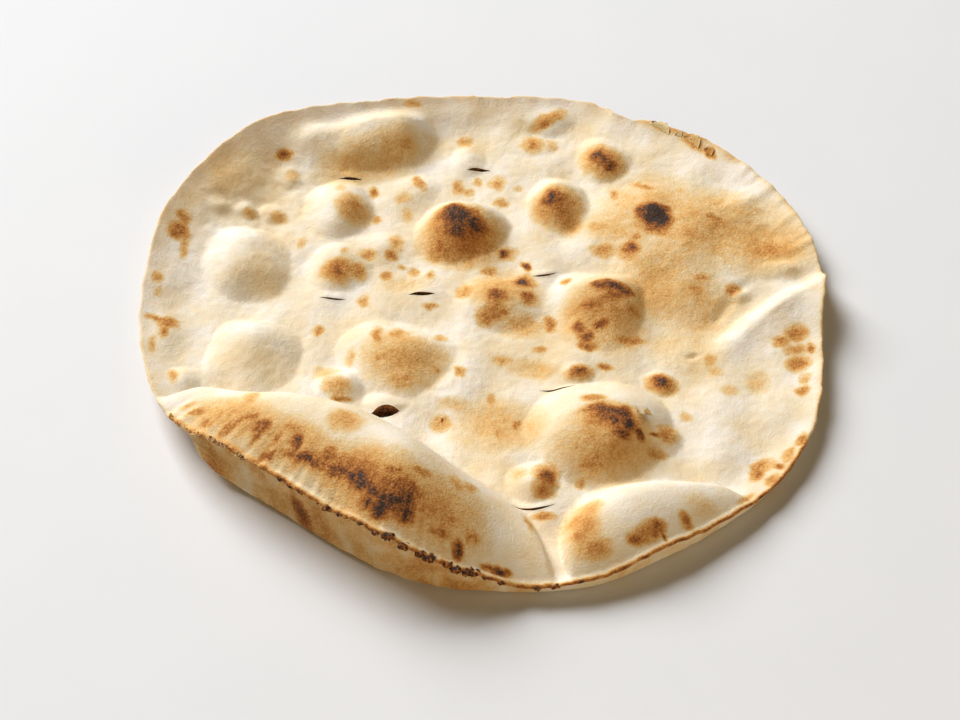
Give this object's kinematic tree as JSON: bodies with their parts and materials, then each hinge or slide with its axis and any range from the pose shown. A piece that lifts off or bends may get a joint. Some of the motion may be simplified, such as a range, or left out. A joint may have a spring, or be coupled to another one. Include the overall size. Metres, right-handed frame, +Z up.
{
  "type": "naan",
  "caption": "Large irregular round flatbread with a blistered, char-spotted crust, long steam bubbles behind a pinched edge and small slits.",
  "frame": {"origin": "middle of the outline's bounding box, on the surface that the bread lies on", "axes": "+Z up through the thickness, +X to the right along the widest extent, -Y to the front with the largest bubble"},
  "size_m": [0.3224, 0.2978, 0.0448],
  "materials": {
    "crust": "dry matt baked wheat crust, floury white to golden with brown and black char spots"
  },
  "bodies": {
    "root": {"naan": "crust"}
  },
  "joints": []
}
